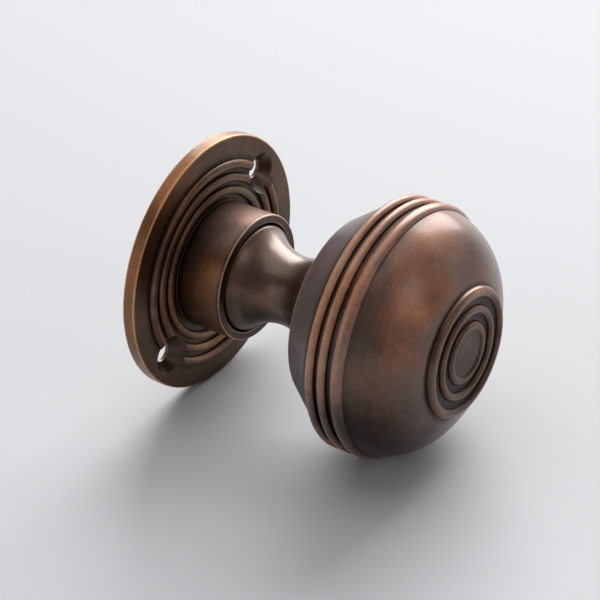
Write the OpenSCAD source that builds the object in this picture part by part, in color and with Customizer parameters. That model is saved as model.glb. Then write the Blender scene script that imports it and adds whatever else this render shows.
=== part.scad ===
// Reeded door knob on a round beaded rose, sprung to return to its rest place.
// Distances called "up" run from the back of the rose, along the knob's axis,
// towards the room. Profiles are drawn as [radius, distance up] and spun.

/* [Rose] */
// Radius of the rose
rose_r = 30; // [27:0.5:36]
// Thickness of the rose at its edge
rose_t = 3; // [2.6:0.1:4]
// Rounding of the rose's front rim
rim_round = 0.4; // [0.2:0.05:0.8]
// Outer radius of the outermost bead
bead_outer_r = 24.4; // [23.5:0.1:26]
// Width of one bead
bead_w = 2.15; // [1.4:0.05:2.6]
// Distance from one bead to the next
bead_pitch = 3.05; // [2.8:0.05:3.2]
// Number of beads
bead_count = 3; // [1:1:3]
// Outer radius of the collar
collar_r = 14.75; // [14.4:0.05:15.4]
// Wall of the collar beside the neck
collar_wall = 1.9; // [1.4:0.1:2.2]
// Depth from the collar's rim to the edge of the neck's foot
collar_lip = 0.6; // [0.2:0.1:1.2]
// Rounding of the collar's rim
collar_round = 0.35; // [0.1:0.05:0.6]
// Width of the small step round the collar's foot
collar_step_w = 0.4; // [0.2:0.05:0.8]
// Height of the small step round the collar's foot
collar_step_h = 0.5; // [0.3:0.05:0.8]
// Rounding of the small step
collar_step_round = 0.15; // [0.05:0.05:0.2]

/* [Fixing holes] */
// Diameter of the circle that the two fixing holes lie on
fixing_pcd = 47.2; // [45:0.2:50]
// Diameter of a fixing hole
fixing_hole_d = 4.6; // [3.5:0.1:5]
// Diameter of its countersink
fixing_sink_d = 9; // [7:0.1:9.4]
// Turn of the pair of holes above the horizontal, in degrees
fixing_turn = 41; // [0:1:90]

/* [Neck] */
// Radius of the neck's waist
waist_r = 8.05; // [7.6:0.05:9]
// Radius of the neck's cove
cove_r = 12.95; // [12:0.05:14]
// Distance from the collar's rim to the waist
waist_reach = 9.9; // [9:0.1:11]
// Height of the neck's foot inside the collar
foot_h = 2.1; // [1.5:0.1:4]
// Fall in radius from the foot to the start of the cove
foot_fall = 0.23; // [0.1:0.01:0.5]
// Gap round the foot, inside the collar
foot_gap = 0.45; // [0.2:0.05:0.8]
// Radius of the shank that turns in the bush
shank_r = 7.6; // [7.4:0.05:8]
// Distance of the shank's two flats from its axis
flat_r = 6.4; // [6:0.1:6.8]
// Side of the square socket for the spindle
socket_w = 8.2; // [7.2:0.1:8.6]
// Depth of the socket past the waist
socket_past_waist = 5; // [3:0.5:6]

/* [Knob] */
// Radius over the reeds
reed_crest_r = 29.05; // [28:0.05:32]
// Depth of the grooves between the reeds
reed_h = 1.2; // [0.8:0.05:1.3]
// Width of the first reed
reed_1_w = 2.15; // [1.8:0.05:3]
// Width of the second reed
reed_2_w = 2.15; // [1.8:0.05:3.2]
// Width of the third reed
reed_3_w = 3.3; // [2.6:0.05:4.6]
// Width of the grooves between the reeds
reed_gap = 0.85; // [0.4:0.05:1.2]
// Flat left beside the first reed and the last
reed_edge = 0.06; // [0.04:0.01:0.2]
// Length of the plain band behind the reeds
band_l = 9.3; // [7:0.1:12]
// Radius of the dome's curve
dome_r = 16.7; // [15:0.1:18]
// Lean of the dome where it leaves the reeds, in degrees
dome_lean = 14.2; // [8:0.2:20]
// Wall of the shell
shell_wall = 2.6; // [2:0.1:3]
// Wall of the back of the knob
back_wall = 2.6; // [2:0.1:3]
// Overlap of the back's spigot inside the shell
spigot_l = 3.4; // [2:0.1:5]
// Wall of the back's spigot
spigot_wall = 2; // [1.5:0.1:2.5]

/* [Face boss] */
// Outer radius of the boss
boss_r = 15; // [14:0.1:16.5]
// Width of the outer ring of the boss
boss_ring_a_w = 2.5; // [2:0.1:2.8]
// Width of the middle ring of the boss
boss_ring_b_w = 2.05; // [1.6:0.05:2.3]
// Width of the inner ring of the boss
boss_ring_c_w = 2.25; // [1.6:0.05:2.4]
// Width of a groove between the rings of the boss
boss_groove_w = 1.55; // [1.2:0.05:2]
// Height of the rings over the dome's edge
boss_ring_h = 1.5; // [1.3:0.05:1.8]
// Height of the outer ring's rounding
boss_round_h = 1.15; // [0.9:0.05:1.2]
// Depth of the boss's grooves
boss_groove_h = 0.8; // [0.5:0.05:1]
// Depth of the boss's middle
boss_dish_h = 0.4; // [0.2:0.05:0.6]
// Thickness of the boss's rim inside the shell
boss_seat_h = 1.6; // [1.2:0.1:2]
// Radial width of the ledge that the boss sits on
boss_ledge_w = 2; // [1.5:0.1:3]
// Length of the boss's spigot below the ledge
boss_spigot_l = 2.2; // [1.5:0.1:3]

/* [Spring and bearing] */
// Thickness of the web that carries the bush
web_t = 3; // [2.4:0.1:4]
// Wall of the bush
bush_wall = 1.35; // [1.2:0.05:1.5]
// Thickness of the bush's flange
bush_flange_t = 1; // [0.8:0.1:1.5]
// Reach of the bush's flange past the spring
bush_flange_reach = 0.1; // [0:0.05:0.3]
// Thickness of the thrust washer
thrust_t = 0.5; // [0.4:0.1:1]
// Diameter of the spring's wire
wire_d = 1.2; // [1:0.05:1.3]
// Distance from one turn of the spring to the next
spring_pitch = 1.65; // [1.62:0.01:1.8]
// Turns of the spring
spring_turns = 2.25; // [2.25:1:4.25]
// Mean radius of the spring
spring_r = 10.7; // [10.4:0.05:11.2]
// Depth of the spring's tang in the web
tang_l = 1.9; // [1.6:0.1:2.2]
// Room round the spring in its chamber
chamber_room = 1.3; // [1.2:0.05:1.5]
// Wall of the drum between the neck and the spring
drum_wall = 1.4; // [1.2:0.05:1.5]
// Reach of the drum's flange past the spring
drum_reach = 0.7; // [0.6:0.05:0.8]
// Thickness of the drum's flange
drum_flange_t = 1; // [0.9:0.1:1.4]
// Thickness of the circlip
clip_t = 0.8; // [0.6:0.1:1]
// Depth of the circlip's groove
clip_groove = 0.55; // [0.4:0.05:0.7]
// Radial width of the circlip
clip_w = 2.1; // [1.8:0.1:2.3]
// Angle from the middle of the circlip's mouth to an ear, in degrees
clip_mouth = 28; // [20:1:40]
// Length of shank left behind the circlip
shank_land = 0.7; // [0.6:0.1:1]
// Turn of the knob each way, in degrees
turn_limit = 60; // [30:1:80]
// Diameter of the stop pin
stop_pin_d = 1.5; // [1.3:0.05:1.6]

/* [Back cover] */
// Width of the ledge round the chamber that the back cover sits on
cover_ledge_w = 6.4; // [6.2:0.1:6.8]
// Thickness of the back cover
cover_t = 1; // [0.9:0.05:1.2]
// Distance from the back cover's edge to its screws
cover_screw_land = 2.35; // [2.2:0.05:2.5]
// Diameter of a cover screw
cover_screw_d = 2; // [1.6:0.1:2.2]
// Diameter of its head
cover_head_d = 3.8; // [3.4:0.1:4]
// Length of the screw past the cover
cover_screw_l = 1.6; // [1.2:0.1:1.6]
// Number of cover screws
cover_screws_n = 3; // [2:1:4]

/* [Fasteners in the knob] */
// Diameter of the threaded end of the neck
stud_d = 12; // [10:1:13]
// Width of the nut across its flats
nut_af = 19; // [17:0.5:20]
// Height of the nut
nut_h = 6; // [4:0.5:7]
// Thickness of the lock washer
lock_t = 1; // [0.6:0.1:1.5]
// Thread left past the nut
stud_past = 1; // [0.5:0.1:2]
// Diameter of a dowel pin
dowel_d = 2.4; // [2:0.1:2.6]
// Depth of a dowel pin in each piece
dowel_l = 2; // [1.5:0.1:2.2]
// Distance of a dowel pin from the stud
dowel_land = 1.3; // [1:0.1:1.6]
// Metal left between the dowel pins and the lock washer
dowel_cover = 2.2; // [1.5:0.1:3]
// Diameter of the grub screw
grub_d = 5; // [4:0.5:6]
// Width of its key socket across the flats
grub_key_af = 2.5; // [2:0.1:3]
// Depth of its key socket
grub_key_h = 1.8; // [1:0.1:2]
// Depth of the grub screw under the waist
grub_sink = 0.2; // [0.1:0.1:0.6]

/* [Clearances] */
// Radial running clearance of the shank in the bush
run_clear = 0.05; // [0.02:0.01:0.1]
// Radial clearance of pieces that are fixed in each other
seat_clear = 0.02; // [0.01:0.01:0.05]
// End play of the knob in the rose
end_play = 0.1; // [0.05:0.05:0.2]
// Room round moving pieces inside the rose
free_room = 0.4; // [0.3:0.05:0.5]
// Room left at the stop pin at the end of the turn
stop_room = 0.15; // [0.1:0.05:0.3]
// Room for a socket round the nut
nut_room = 1.3; // [1:0.1:2]
// Room round the spring's tangs in their holes
tang_room = 0.15; // [0.1:0.05:0.2]

/* [Hidden] */
$fn = 96;

bronze = "#6b4a38";
bronze_dark = "#4b3a37";
bronze_copper = "#8a5a3c";
steel = "#8d9096";
nylon = "#d9d4c6";

// Distance that a cutting shape runs past the surface it cuts
past = 1;

// Radii in the rose
neck_foot_r = collar_r - collar_wall - foot_gap;
collar_bore_r = neck_foot_r + foot_gap;
bush_in_r = shank_r + run_clear;
bush_out_r = bush_in_r + bush_wall;
spring_out_r = spring_r + wire_d / 2;
bush_flange_r = spring_out_r + bush_flange_reach;
chamber_r = spring_out_r + chamber_room;
cover_r = chamber_r + cover_ledge_w;
cover_screw_r = cover_r - cover_screw_land;
drum_hub_r = shank_r + drum_wall;
drum_r = spring_out_r + drum_reach;
clip_in_r = shank_r - clip_groove;
clip_out_r = clip_in_r + clip_w;
cover_hole_r = clip_out_r + 2 * free_room;
stop_pin_r = stop_pin_d / 2;
stop_at_r = drum_r - stop_pin_r - free_room / 2;
tang_hole_r = wire_d / 2 + tang_room;

// Distances up through the rose
clip_up = shank_land;
drum_up = clip_up + clip_t;
drum_face_up = drum_up + drum_flange_t;
spring_up = drum_face_up + seat_clear + wire_d / 2;
spring_top_up = spring_up + spring_turns * spring_pitch;
web_up = spring_top_up + wire_d / 2 + seat_clear;
web_face_up = web_up + web_t;
bush_face_up = web_face_up + bush_flange_t;
foot_up = bush_face_up + thrust_t + end_play;
foot_edge_up = foot_up + foot_h;
collar_up = foot_edge_up + collar_lip;

// Neck and knob, going up
cove_mid_r = waist_r + cove_r;
waist_up = collar_up + waist_reach;
cove_end_r = neck_foot_r - foot_fall;
cove_half = sqrt(cove_r ^ 2 - (cove_mid_r - cove_end_r) ^ 2);
cove_up = waist_up - cove_half;
seat_up = waist_up + cove_half;
edge_up = waist_up + cove_r;
band_up = edge_up + band_l;
groove_r = reed_crest_r - reed_h;
reed_widths = [reed_1_w, reed_2_w, reed_3_w];
reed_count = len(reed_widths);
dome_up = reed_start(reed_count);
dome_mid_r = groove_r - dome_r * cos(dome_lean);
dome_mid_up = dome_up - dome_r * sin(dome_lean);
shell_in_r = groove_r - shell_wall;
floor_up = edge_up + back_wall;
nut_floor_up = seat_up + dowel_l + dowel_cover;
stud_r = stud_d / 2;
nut_r = nut_af / 2 / cos(30);
nut_room_r = nut_r + nut_room;
nut_up = nut_floor_up + lock_t;
stud_up = nut_up + nut_h + stud_past;
dowel_r = dowel_d / 2;
dowel_at_r = stud_r + dowel_land + dowel_r;
socket_end_up = waist_up + socket_past_waist;

// Face boss, going up
boss_edge_up = dome_height(boss_r);
boss_seat_up = boss_edge_up - boss_seat_h;
boss_crest_up = boss_edge_up + boss_ring_h;
boss_floor_up = boss_crest_up - boss_groove_h;
boss_hole_r = boss_r - boss_ledge_w;
boss_spigot_up = boss_seat_up - boss_spigot_l;
ring_b_out_r = boss_r - boss_ring_a_w - boss_groove_w;
ring_c_out_r = ring_b_out_r - boss_ring_b_w - boss_groove_w;
boss_dish_r = ring_c_out_r - boss_ring_c_w;

// Angles in the plane of the rose, from the horizontal
stop_turn = 270;
tang_turn = 90;
cover_screw_turn = 30;
cover_screw_step = 360 / cover_screws_n;

// Steps of the spring's tube
spring_sides = 8;
spring_ring_turn = 12;
spring_bend_r = 0.6 * wire_d;
spring_bend_steps = 4;

function reed_start(i) =
    i == 0 ? band_up + reed_edge
    : reed_start(i - 1) + reed_widths[i - 1] + (i < reed_count ? reed_gap : reed_edge);
function on_circle(r, turn) = r * [cos(turn), sin(turn)];
function arc_radius(w, h) = (w ^ 2 / 4 + h ^ 2) / (2 * h);
function dome_height(r) =
    r > dome_mid_r ? dome_mid_up + sqrt(dome_r ^ 2 - (r - dome_mid_r) ^ 2) : dome_mid_up + dome_r;

// Turns what was drawn going up so that it leaves the wall along -Y
module up_axis() {
    rotate([90, 0, 0]) children();
}

// Spins a profile of [radius, distance up]
module spun() {
    rotate_extrude($fn = 128) children();
}

// Rectangle of a profile
module band(r0, r1, up0, up1) {
    translate([r0, up0]) square([r1 - r0, up1 - up0]);
}

// Rectangle of a profile whose outer upper corner is rounded
module rounded_band(r0, r1, up0, up1, round) {
    band(r0, r1 - round, up0, up1);
    band(r0, r1, up0, up1 - round);
    translate([r1 - round, up1 - round]) circle(round);
}

// Round-topped ring of a profile that stands h over a base, w wide
module crown(mid_r, base_up, w, h) {
    round = arc_radius(w, h);
    translate([mid_r, base_up + h - round]) circle(round);
}

// Round-edged ring of a profile that stands h proud of a radius, w wide
module reed(base_r, start_up, w, h) {
    top_h = min(h, w / 2);
    round = arc_radius(w, top_h);
    band(base_r - h, base_r + h - top_h, start_up, start_up + w);
    translate([base_r + h - round, start_up + w / 2]) circle(round);
}

// Places children on a circle of a given radius, at a given angle
module at_turn(turn, r) {
    rotate(turn) translate([r, 0]) children();
}

module rod(r, up0, up1) {
    translate([0, 0, up0]) cylinder(r = r, h = up1 - up0);
}

module rose_profile() {
    difference() {
        union() {
            rounded_band(0, rose_r, 0, rose_t, rim_round);
            for (i = [0 : bead_count - 1])
                translate([bead_outer_r - bead_w / 2 - i * bead_pitch, rose_t]) circle(d = bead_w);
            rounded_band(0, collar_r + collar_step_w, 0, rose_t + collar_step_h, collar_step_round);
            rounded_band(0, collar_r, 0, collar_up, collar_round);
        }
        band(-past, cover_r + seat_clear, -past, cover_t);
        band(-past, chamber_r, 0, web_up);
        band(-past, bush_out_r + seat_clear, 0, collar_up + past);
        band(-past, collar_bore_r, web_face_up, collar_up + past);
    }
}

// Screw hole whose countersink, a right-angled cone, runs on up through the beads
module fixing_hole() {
    sink_h = (fixing_sink_d - fixing_hole_d) / 2;
    cone_h = sink_h + bead_w;
    rod(fixing_hole_d / 2, -past, rose_t);
    translate([0, 0, rose_t - sink_h])
        cylinder(d1 = fixing_hole_d, d2 = fixing_hole_d + 2 * cone_h, h = cone_h);
}

module rose() {
    color(bronze) up_axis() difference() {
        spun() rose_profile();
        for (side = [0, 180]) at_turn(fixing_turn + side, fixing_pcd / 2) fixing_hole();
        for (i = [0 : cover_screws_n - 1])
            at_turn(cover_screw_turn + i * cover_screw_step, cover_screw_r)
                rod(cover_screw_d / 2, cover_t - past, cover_t + cover_screw_l + seat_clear);
        at_turn(tang_turn + spring_turns * 360, spring_r)
            rod(tang_hole_r, web_up - past, web_up + tang_l + tang_room);
    }
}

module bearing_bush() {
    color(nylon) up_axis() spun() {
        band(bush_in_r, bush_out_r, web_up, bush_face_up);
        band(bush_in_r, bush_flange_r, web_face_up, bush_face_up);
    }
}

module thrust_washer() {
    color(nylon) up_axis() spun() band(bush_in_r, bush_flange_r, bush_face_up, bush_face_up + thrust_t);
}

// The spring's line is drawn flat, as [distance round, distance up], and then
// wrapped on the spring's radius: tang, bend, turns, bend, tang.
spring_run = spring_turns * 2 * PI * spring_r;
spring_rise = atan(spring_turns * spring_pitch / spring_run);
spring_rings = round(spring_turns * 360 / spring_ring_turn);
spring_bend = [for (i = [0 : spring_bend_steps]) i / spring_bend_steps * (90 - spring_rise)];
spring_line = concat(
    [[0, drum_up]],
    [for (a = spring_bend) [spring_bend_r * (1 - cos(a)), spring_up + spring_bend_r * (sin(a) - 1)]],
    [for (i = [1 : spring_rings - 1]) let(run = i / spring_rings * spring_run)
        if (min(run, spring_run - run) > 2 * spring_bend_r) [run, spring_up + run * tan(spring_rise)]],
    [for (i = [spring_bend_steps : -1 : 0]) let(a = spring_bend[i])
        [spring_run - spring_bend_r * (1 - cos(a)), spring_top_up - spring_bend_r * (sin(a) - 1)]],
    [[spring_run, web_up + tang_l]]
);

function wrapped(p, r) =
    let(turn = tang_turn + p[0] / spring_r * 180 / PI)
    [r * cos(turn), r * sin(turn), p[1]];
function heading(line, i) =
    let(d = line[min(i + 1, len(line) - 1)] - line[max(i - 1, 0)])
    d / norm(d);
function spring_ring(i) =
    let(p = spring_line[i], d = heading(spring_line, i), side = [-d[1], d[0]])
    [for (k = [0 : spring_sides - 1]) let(a = k * 360 / spring_sides)
        wrapped(p + wire_d / 2 * sin(a) * side, spring_r + wire_d / 2 * cos(a))];

// Least gap between the spring's turns, from point to point of its line
spring_gap = min([for (p = spring_line, q = spring_line) if (q[0] - p[0] > PI * spring_r)
    norm(wrapped(p, spring_r) - wrapped(q, spring_r))]) - wire_d;
echo(spring_gap = spring_gap);

module return_spring() {
    rings = len(spring_line);
    points = [for (i = [0 : rings - 1]) each spring_ring(i)];
    walls = [for (i = [0 : rings - 2], k = [0 : spring_sides - 1])
        let(a = i * spring_sides + k, b = i * spring_sides + (k + 1) % spring_sides)
            each [[a, a + spring_sides, b], [b, a + spring_sides, b + spring_sides]]];
    last = (rings - 1) * spring_sides;
    caps = [for (k = [1 : spring_sides - 2]) each [[0, k, k + 1], [last, last + k + 1, last + k]]];
    color(steel) up_axis() polyhedron(points, concat(walls, caps));
}

module stop_pin() {
    color(steel) up_axis() at_turn(stop_turn, stop_at_r) rod(stop_pin_r, 0, drum_face_up - tang_room);
}

module back_cover() {
    color(steel) up_axis() difference() {
        spun() band(cover_hole_r, cover_r, 0, cover_t);
        at_turn(stop_turn, stop_at_r) rod(stop_pin_r + seat_clear, -past, cover_t + past);
        for (i = [0 : cover_screws_n - 1])
            at_turn(cover_screw_turn + i * cover_screw_step, cover_screw_r) {
                rod(cover_screw_d / 2, -past, cover_t + past);
                cylinder(d1 = cover_head_d, d2 = cover_screw_d, h = (cover_head_d - cover_screw_d) / 2);
            }
    }
}

module cover_screw() {
    head_h = (cover_head_d - cover_screw_d) / 2;
    slot_w = cover_screw_d / 4;
    difference() {
        union() {
            cylinder(d1 = cover_head_d - 2 * seat_clear, d2 = cover_screw_d - 2 * seat_clear, h = head_h);
            rod(cover_screw_d / 2 - seat_clear, 0, cover_t + cover_screw_l);
        }
        translate([-cover_head_d, -slot_w / 2, -past]) cube([2 * cover_head_d, slot_w, past + head_h / 2]);
    }
}

module cover_screws() {
    color(steel) up_axis() for (i = [0 : cover_screws_n - 1])
        at_turn(cover_screw_turn + i * cover_screw_step, cover_screw_r) cover_screw();
}

// Round bar with two flats, as the shank has where the drum sits
module flatted(r, flat, up0, up1) {
    translate([0, 0, up0]) linear_extrude(up1 - up0) intersection() {
        circle(r);
        square([2 * r + past, 2 * flat], center = true);
    }
}

module neck_profile() {
    difference() {
        union() {
            band(0, neck_foot_r, foot_up, foot_edge_up);
            polygon([[0, foot_edge_up], [neck_foot_r, foot_edge_up], [cove_end_r, cove_up], [0, cove_up]]);
            band(0, cove_end_r, cove_up, seat_up);
        }
        translate([cove_mid_r, waist_up]) circle(cove_r);
    }
    band(0, stud_r, seat_up, stud_up);
}

module dowels(r, up0, up1) {
    for (side = [0, 180]) at_turn(side, dowel_at_r) rod(r, up0, up1);
}

module neck() {
    color(bronze) up_axis() difference() {
        union() {
            spun() neck_profile();
            rod(shank_r, web_up - end_play, foot_up);
            flatted(shank_r, flat_r, 0, web_up - end_play);
        }
        translate([0, 0, clip_up]) difference() {
            cylinder(r = shank_r + past, h = clip_t);
            cylinder(r = clip_in_r, h = clip_t);
        }
        translate([-socket_w / 2, -socket_w / 2, -past]) cube([socket_w, socket_w, socket_end_up + past]);
        translate([0, 0, waist_up]) rotate([90, 0, 0]) cylinder(d = grub_d, h = cove_end_r);
        dowels(dowel_r, seat_up - dowel_l, seat_up + past);
    }
}

module spring_drum() {
    notch_turn = turn_limit + asin((stop_pin_r + stop_room) / stop_at_r);
    notch_r = stop_at_r - stop_pin_r - free_room / 2;
    color(steel) up_axis() difference() {
        union() {
            rod(drum_hub_r, drum_up, web_up - end_play);
            rod(drum_r, drum_up, drum_face_up);
        }
        flatted(shank_r + seat_clear, flat_r + seat_clear, 0, web_up);
        at_turn(tang_turn, spring_r) rod(tang_hole_r, drum_up - past, drum_face_up + past);
        difference() {
            translate([0, 0, drum_up - past]) linear_extrude(drum_flange_t + 2 * past)
                polygon(concat([[0, 0]],
                    [for (i = [-2 : 2]) on_circle(2 * drum_r, stop_turn + i / 2 * notch_turn)]));
            rod(notch_r, drum_up - 2 * past, drum_face_up + 2 * past);
        }
    }
}

module circlip() {
    ear_r = clip_w / 2;
    ear_at_r = clip_out_r - ear_r + free_room / 2;
    color(steel) up_axis() translate([0, 0, clip_up]) linear_extrude(clip_t) difference() {
        union() {
            difference() {
                circle(clip_out_r);
                circle(clip_in_r);
                polygon(concat([[0, 0]], [for (i = [-1 : 1]) on_circle(2 * clip_out_r, i * clip_mouth)]));
            }
            for (side = [-1, 1]) at_turn(side * clip_mouth, ear_at_r) circle(ear_r);
        }
        for (side = [-1, 1]) at_turn(side * clip_mouth, ear_at_r) circle(ear_r / 2);
        circle(clip_in_r);
    }
}

module grub_screw() {
    tip_r = socket_w / 2 + seat_clear;
    head_r = waist_r - grub_sink;
    color(steel) up_axis() translate([0, 0, waist_up]) rotate([90, 0, 0]) difference() {
        rod(grub_d / 2 - seat_clear, tip_r, head_r);
        translate([0, 0, head_r - grub_key_h])
            cylinder(r = grub_key_af / 2 / cos(30), h = grub_key_h + past, $fn = 6);
    }
}

module dowel_pins() {
    color(steel) up_axis() dowels(dowel_r - seat_clear, seat_up - dowel_l, seat_up + dowel_l);
}

module lock_washer() {
    color(steel) up_axis() spun() band(stud_r + seat_clear, nut_r, nut_floor_up, nut_up);
}

module core_nut() {
    color(steel) up_axis() translate([0, 0, nut_up]) difference() {
        cylinder(r = nut_r, h = nut_h, $fn = 6);
        translate([0, 0, -past]) cylinder(r = stud_r + seat_clear, h = nut_h + 2 * past);
    }
}

module knob_back_profile() {
    spigot_in_r = shell_in_r - spigot_wall;
    floor_r = cove_mid_r - back_wall;
    difference() {
        union() {
            difference() {
                polygon([[0, seat_up], [cove_mid_r, seat_up], [cove_mid_r, edge_up],
                    [groove_r, band_up], [0, band_up]]);
                translate([cove_mid_r, waist_up]) circle(cove_r);
            }
            band(spigot_in_r, shell_in_r - seat_clear, band_up - past, band_up + spigot_l);
        }
        polygon([[-past, floor_up], [floor_r, floor_up], [spigot_in_r, band_up - past],
            [spigot_in_r, band_up + spigot_l + past], [-past, band_up + spigot_l + past]]);
        band(-past, nut_room_r, nut_floor_up, floor_up + past);
        band(-past, stud_r + seat_clear, seat_up - past, floor_up + past);
    }
}

module knob_back() {
    color(bronze_dark) up_axis() difference() {
        spun() knob_back_profile();
        dowels(dowel_r, seat_up - past, seat_up + dowel_l + seat_clear);
    }
}

// Half of the dome's section, filled to the axis, with its curve pulled in by a wall
module dome_profile(wall) {
    intersection() {
        union() {
            translate([dome_mid_r, dome_mid_up]) circle(dome_r - wall);
            band(0, dome_mid_r, dome_mid_up, dome_mid_up + dome_r - wall);
        }
        band(0, groove_r, dome_up, dome_mid_up + dome_r + past);
    }
}

module knob_shell() {
    color(bronze_copper) up_axis() spun() difference() {
        union() {
            band(0, groove_r, band_up, dome_up);
            for (i = [0 : reed_count - 1]) reed(groove_r, reed_start(i), reed_widths[i], reed_h);
            dome_profile(0);
        }
        band(-past, shell_in_r, band_up - past, dome_up);
        dome_profile(shell_wall);
        band(-past, boss_hole_r, dome_up, boss_crest_up);
        band(-past, boss_r, boss_seat_up, boss_crest_up);
    }
}

module face_boss() {
    color(bronze_dark) up_axis() spun() intersection() {
        union() {
            band(0, boss_hole_r - seat_clear, boss_spigot_up, boss_seat_up);
            band(0, boss_r - seat_clear, boss_seat_up, boss_edge_up);
            band(0, boss_r - boss_ring_a_w / 2, boss_edge_up, boss_floor_up);
            crown(boss_r - boss_ring_a_w / 2, boss_crest_up - boss_round_h, boss_ring_a_w, boss_round_h);
            crown(ring_b_out_r - boss_ring_b_w / 2, boss_floor_up, boss_ring_b_w, boss_groove_h);
            crown(ring_c_out_r - boss_ring_c_w / 2, boss_floor_up, boss_ring_c_w, boss_groove_h);
            band(0, boss_dish_r, boss_floor_up, boss_crest_up - boss_dish_h);
        }
        band(0, boss_r - seat_clear, boss_spigot_up, boss_crest_up + past);
    }
}

rose();
bearing_bush();
thrust_washer();
return_spring();
stop_pin();
back_cover();
cover_screws();
neck();
spring_drum();
circlip();
grub_screw();
dowel_pins();
lock_washer();
core_nut();
knob_back();
knob_shell();
face_boss();
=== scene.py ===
import math

import bmesh
import bpy
from mathutils import Matrix, Vector
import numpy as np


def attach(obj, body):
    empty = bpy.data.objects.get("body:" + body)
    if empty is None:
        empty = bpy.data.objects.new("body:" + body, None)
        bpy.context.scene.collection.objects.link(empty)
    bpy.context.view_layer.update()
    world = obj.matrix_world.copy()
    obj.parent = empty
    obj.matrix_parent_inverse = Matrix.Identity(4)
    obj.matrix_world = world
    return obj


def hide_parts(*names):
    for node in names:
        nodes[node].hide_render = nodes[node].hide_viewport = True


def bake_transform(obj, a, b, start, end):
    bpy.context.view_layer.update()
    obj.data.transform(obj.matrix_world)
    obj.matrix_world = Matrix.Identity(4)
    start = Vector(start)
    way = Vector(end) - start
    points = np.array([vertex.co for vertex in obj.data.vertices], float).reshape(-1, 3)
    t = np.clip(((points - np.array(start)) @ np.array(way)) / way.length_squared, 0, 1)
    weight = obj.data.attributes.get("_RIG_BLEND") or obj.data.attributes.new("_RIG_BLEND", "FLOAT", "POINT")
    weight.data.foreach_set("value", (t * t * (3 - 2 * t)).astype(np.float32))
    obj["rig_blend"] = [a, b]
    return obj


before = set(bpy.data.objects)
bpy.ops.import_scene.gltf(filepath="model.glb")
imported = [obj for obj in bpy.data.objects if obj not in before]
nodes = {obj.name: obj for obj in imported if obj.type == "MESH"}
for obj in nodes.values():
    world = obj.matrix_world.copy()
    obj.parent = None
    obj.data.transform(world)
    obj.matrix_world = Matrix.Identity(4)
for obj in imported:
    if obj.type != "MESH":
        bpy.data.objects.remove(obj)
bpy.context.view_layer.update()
mm = 0.001  # lengths in the settings of the pieces are in mm
overrun = 1  # how far a cutter goes past the face that it opens
print("frame loaded:", len(nodes), "pieces")


# the pen draws half a section, by radius and distance up from the door
def penStart(radius, up):
    bm = bmesh.new()
    for layerName in ("wearAndShade", "hollowShade", "tone"):
        bm.verts.layers.float.new(layerName)
    return bm, [bm.verts.new((radius * mm, -up * mm, 0))]


def penLine(bm, path, radius, up, steps=1):
    target = Vector((radius * mm, -up * mm, 0))
    stride = (target - path[-1].co) / steps
    for _ in range(steps):
        grown = bmesh.ops.extrude_vert_indiv(bm, verts=[path[-1]])["verts"][0]
        bmesh.ops.translate(bm, verts=[grown], vec=stride)
        path.append(grown)


# positive degrees go from the door side round the outside to the room side
def penArc(bm, path, midRadius, midUp, degrees, steps):
    bmesh.ops.spin(
        bm, geom=[path[-1]], cent=(midRadius * mm, -midUp * mm, 0), axis=(0, 0, 1),
        angle=-math.radians(degrees), steps=steps)
    bm.verts.ensure_lookup_table()
    path.extend(bm.verts[len(bm.verts) - steps:])


# the place that is one reach along the section from a point, forwards or backwards
def walkSection(points, index, way, reach, closed):
    here, left = points[index], reach * mm
    for _ in points:
        index += way
        if closed:
            index %= len(points)
        elif not 0 <= index < len(points):
            return here
        gap = (points[index] - here).length
        if gap >= left:
            return here.lerp(points[index], left / gap)
        left -= gap
        here = points[index]
    return here


# these two values hold how the section bends nearby: + on crests, where it is rubbed, and - in hollows, where it is
# painted with shade
# tone holds the zones that are paler or darker
def markSection(bm, path, s, closed):
    points = [v.co.copy() for v in path]
    for layerName, reach in (("wearAndShade", s["wearAndShadeReach"]), ("hollowShade", s["hollowShadeReach"])):
        layer = bm.verts.layers.float[layerName]
        for i, vert in enumerate(path):
            ahead = walkSection(points, i, 1, reach, closed) - points[i]
            behind = points[i] - walkSection(points, i, -1, reach, closed)
            bend = 0.0
            if ahead.length * behind.length > 0:
                bend = behind.xy.angle_signed(ahead.xy) / (math.pi / 2)
            # near where another piece meets this one the bend goes towards -1, which paints shade into the joint
            for radius, up in s["meets"]:  # where another piece closes against this one
                near = (points[i] - Vector((radius * mm, -up * mm, 0))).length / (reach * mm)
                if near < 1:
                    bend = near * bend - (1 - near)
            vert[layer] = bend
    layer = bm.verts.layers.float["tone"]
    for vert, point in zip(path, points):
        for lowRadius, highRadius, lowUp, highUp, shift, fade in s["zones"]:
            radius, up = point.x / mm, -point.y / mm
            inside = min(radius - lowRadius, highRadius - radius, up - lowUp, highUp - up)
            vert[layer] += shift * min(max(inside / fade, 0), 1)


def makePiece(name, bm):
    mesh = bpy.data.meshes.new(name)
    bm.to_mesh(mesh)
    bm.free()
    piece = bpy.data.objects.new(name, mesh)
    bpy.context.scene.collection.objects.link(piece)
    return piece


# spins the section; closed is for a ring, and an open section starts and ends on the axis
def turnPiece(name, bm, path, s, closed):
    if closed:
        bm.edges.new((path[-1], path[0]))
    markSection(bm, path, s, closed)
    bmesh.ops.spin(
        bm, geom=bm.verts[:] + bm.edges[:], cent=(0, 0, 0), axis=(0, 1, 0),
        angle=2 * math.pi, steps=s["turns"], use_merge=True)
    bmesh.ops.remove_doubles(bm, verts=bm.verts[:], dist=1e-7)
    bmesh.ops.recalc_face_normals(bm, faces=bm.faces[:])
    return makePiece(name, bm)


def finishPiece(piece, material, sharpAngle):
    mesh = piece.data
    mesh.shade_smooth()
    mesh.set_sharp_from_angle(angle=math.radians(sharpAngle))
    mesh.materials.clear()
    mesh.materials.append(material)


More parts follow.
